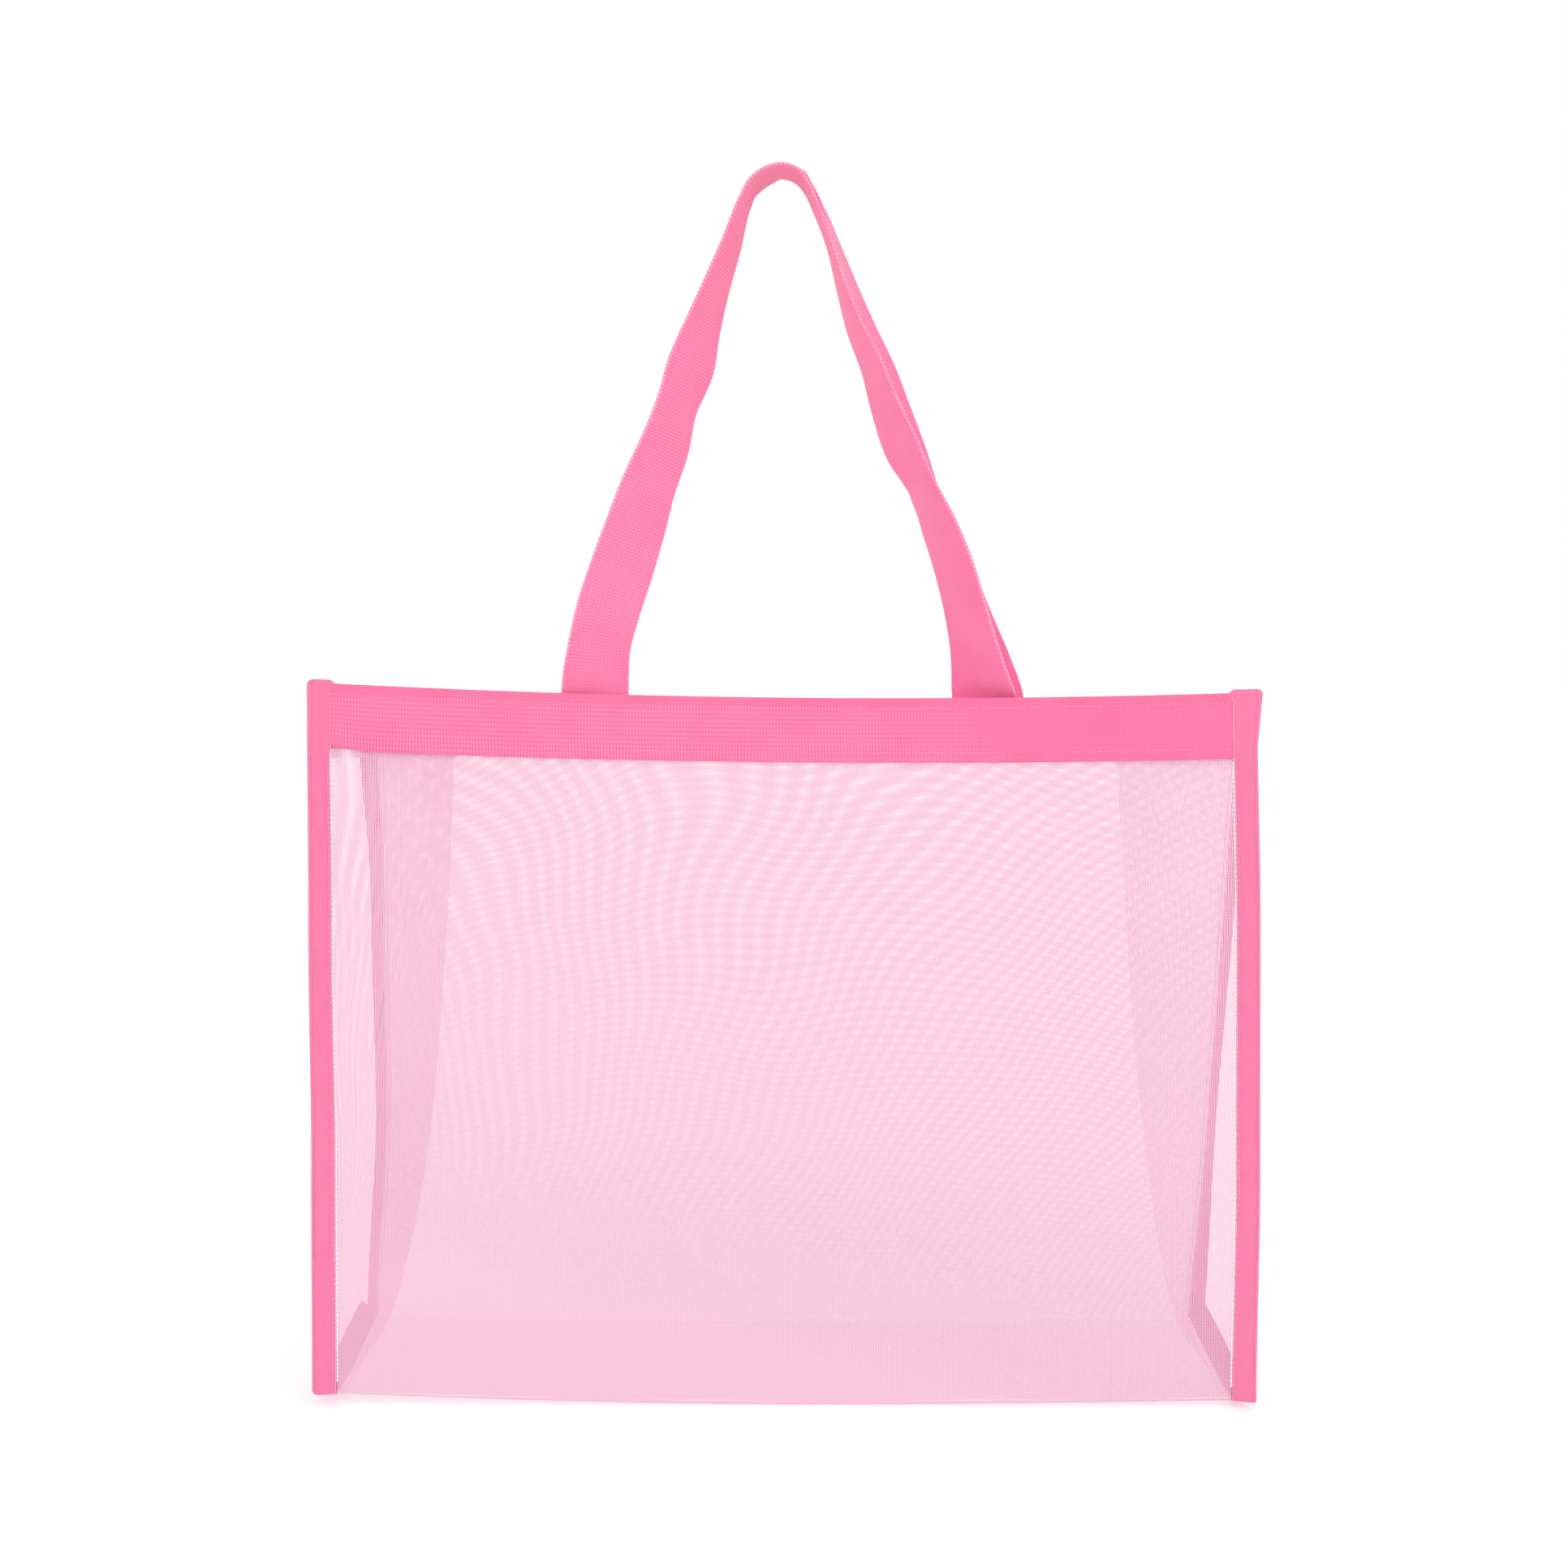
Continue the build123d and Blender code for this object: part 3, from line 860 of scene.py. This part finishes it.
def stitches(centres, directions, normals, overlock):
    """Points, faces and cloth places of small flattened beads of thread, one for each centre.

    Overlock is 0 in plain stitches, 1 in a fine pale overlock and more in a thicker one.
    """
    half_length, radius, sides = 1.1 * MM, (0.24 + 0.2 * overlock) * MM, 6
    along = np.array([-1, -0.82, 0, 0.82, 1]) * half_length
    girth = np.array([0.25, 0.75, 1, 0.75, 0.25]) * radius
    angle = np.linspace(0, 2 * pi, sides, endpoint=False)
    ring = np.stack([np.cos(angle), np.sin(angle) * 0.7], -1)
    sideways = unit(np.cross(directions, normals))
    sink = np.array([-0.2, 0.02, 0.1, 0.02, -0.2]) * MM
    points = (
        centres[:, None, None]
        + directions[:, None, None] * along[None, :, None, None]
        + sideways[:, None, None] * (girth[None, :, None] * ring[None, None, :, 0])[..., None]
        + normals[:, None, None] * (girth[None, :, None] * ring[None, None, :, 1])[..., None]
        + normals[:, None, None] * sink[None, :, None, None]
    )
    count = len(centres)
    per_stitch = len(along) * sides
    one = grid_faces(len(along), sides, closed=True)
    one.append(tuple(reversed(range(sides))))
    one.append(tuple(range(per_stitch - sides, per_stitch)))
    faces = [tuple(corner + index * per_stitch for corner in face) for index in range(count) for face in one]
    tint = np.arange(count)[:, None, None] * 3.1 * MM
    places = cloth_places(along[None, :, None] + tint, angle[None, None, :] * radius, overlock)
    return points.reshape(-1, 3), faces, np.broadcast_to(places, points.shape).reshape(-1, 3)


# Distances between stitches on a tape, between overlock stitches, and of a tape's rows from its seam
TAPE_PITCH, OVERLOCK_PITCH = 2.8 * MM, 2.1 * MM
TAPE_INSETS = (1.9 * MM, 9.2 * MM)


def row_of_stitches(place, start, end, pitch, normal, overlock=0.0):
    """Stitches along a line: place gives its points, and normal the direction that they face."""
    at = even(start, end, pitch)
    step = 0.4 * MM
    directions = unit(place(at + step) - place(at - step))
    normals = np.broadcast_to(normal(at) if callable(normal) else normal, directions.shape)
    normals = unit(normals - directions * (directions * normals).sum(-1)[:, None])
    return stitches(place(at), directions, normals, overlock)


def make_stitching(part, body, rows):
    """One piece of thread from all the rows of stitches that ride together."""
    points, faces, places, first = [], [], [], 0
    for row_points, row_faces, row_places in rows:
        points.append(row_points)
        faces += [tuple(corner + first for corner in face) for face in row_faces]
        places.append(row_places)
        first += len(row_points)
    piece = build(f"{part}_thread", np.concatenate(points), faces, np.concatenate(places), thread)
    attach(piece, body)
    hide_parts(f"{part}_stitching")


def face_normal(frame_at, face, at):
    """The direction that a tape's face 1 or -1 looks in, along the tape."""
    return frame_at(at)[2] * face


def fin_line(frame_at, inset, lift):
    """A line along a tape, at a distance from its seam and above one of its faces."""
    def place(at):
        foot, sideways, face = frame_at(at)
        return foot + sideways * inset + face * lift
    return place


def fin_rows(frame_at, start, end, overlock_inset, overlock):
    """Rows of stitches along both faces of a tape, beside its seam and beside its fold, and its overlock."""
    rows = []
    for inset, height in zip(TAPE_INSETS, (0.95 * MM, 1.0 * MM)):
        for face in (1, -1):
            line = fin_line(frame_at, inset, height * face)
            rows.append(row_of_stitches(line, start, end, TAPE_PITCH, partial(face_normal, frame_at, face)))
    for face in (1, -1):
        line = fin_line(frame_at, overlock_inset, 0.35 * MM * face)
        normal = partial(face_normal, frame_at, face)
        rows.append(row_of_stitches(line, start, end, OVERLOCK_PITCH, normal, overlock))
    return rows


def make_panel_stitching(side):
    """Two rows of stitches through a band, on both faces, and the rows on the two tapes beside it."""
    reach, pitch = SEAM - 2 * MM, 3.0 * MM
    outward = panel_outward(side)
    faces = ((STRAP_THICKNESS + 0.1 * MM, outward), (CLOTH_DEPTH - 0.15 * MM, -outward))
    rows = []
    for height in (5.5 * MM, BAND_WIDTH - 4.4 * MM):
        for depth, normal in faces:
            def place(x, height=height, depth=depth):
                return panel(side, x, BAND_BOTTOM + height, depth)
            rows.append(row_of_stitches(place, -reach, reach, pitch, normal))
    top = CLOTH_LENGTH + FIN_RISE[side] - 3 * MM
    inset, overlock = (-0.15 * MM, 1.0) if side == "front" else (-1.2 * MM, 1.7)
    for hand in HANDS:
        rows += fin_rows(partial(fin_frame, side, hand), 9 * MM, top, inset, overlock)
    make_stitching(side, f"{side}_panel", rows)


def make_base_stitching():
    """The rows of stitches on the upper face of each base tape, and its overlock."""
    reach = BASE_DEPTH - 7 * MM
    rows = []
    for hand in HANDS:
        frame_at = partial(base_fin_frame, hand)
        upward = partial(face_normal, frame_at, 1)
        for inset in TAPE_INSETS:
            line = fin_line(frame_at, inset, 0.98 * MM)
            rows.append(row_of_stitches(line, -reach, reach, TAPE_PITCH, upward))
        line = fin_line(frame_at, -1.2 * MM, 0.9 * MM)
        rows.append(row_of_stitches(line, -reach, reach, OVERLOCK_PITCH, upward, 1.7))
    make_stitching("base", "base", rows)


make_base_cloth()
make_base_stitching()
for hand in HANDS:
    make_base_tape(hand)
for side in OUTWARD:
    make_band(side)
    make_panel_cloth(side)
    make_strap(side)
    make_panel_stitching(side)
    for hand in HANDS:
        make_corner_tape(side, hand)
        make_gusset_half(side, hand)


# ---- Floor, light and camera

def make_floor():
    """Plain pale floor, wide enough to fill every view."""
    x, y = np.meshgrid(np.linspace(-6, 6, 9), np.linspace(-6, 6, 9))
    points = np.stack([x, y, 0 * x], -1)
    fabric = Fabric("pale_floor", 0.9, 0.0)
    grain = fabric.noise(900.0, 2.0)
    colour = fabric.mix(grain, (0.57, 0.57, 0.57, 1), (0.6, 0.6, 0.6, 1))
    material = fabric.finish(colour, grain, 0.0001)
    fabric.shader.inputs["Emission Color"].default_value = (1, 1, 1, 1)
    fabric.shader.inputs["Emission Strength"].default_value = 0.47
    sheet_piece("floor", points, cloth_places(x, y), material)


def make_lights():
    """White surround, with soft boxes for a little shape in the cloth."""
    world = bpy.data.worlds.new("white_studio")
    bpy.context.scene.world = world
    world.use_nodes = True
    world.node_tree.nodes["Background"].inputs["Color"].default_value = (1, 1, 1, 1)
    world.node_tree.nodes["Background"].inputs["Strength"].default_value = 1.0
    boxes = {
        "key_light": ((1.1, -1.5, 1.5), 9.0, 1.2),
        "fill_light": ((-1.6, -1.1, 0.9), 4.0, 1.4),
    }
    for name, (place, power, size) in boxes.items():
        light = bpy.data.lights.new(name, "AREA")
        light.energy, light.size = power, size
        lamp = bpy.data.objects.new(name, light)
        bpy.context.scene.collection.objects.link(lamp)
        lamp.location = place
        lamp.rotation_euler = (-Vector(place)).to_track_quat("-Z", "Y").to_euler()


def make_camera():
    """The photo's view: a little above the mouth, and close enough to see into the bag."""
    camera = bpy.data.cameras.new("camera")
    camera.sensor_width, camera.lens = 36, 52.4
    view = bpy.data.objects.new("camera", camera)
    bpy.context.scene.collection.objects.link(view)
    view.location = (0.0074, -BASE_DEPTH - 0.983, 0.369)
    view.rotation_euler = (radians(90 - 5.29), 0, radians(0.40))
    bpy.context.scene.camera = view
    bpy.context.scene.view_settings.view_transform = "Standard"


make_floor()
make_lights()
make_camera()

bpy.context.view_layer.update()
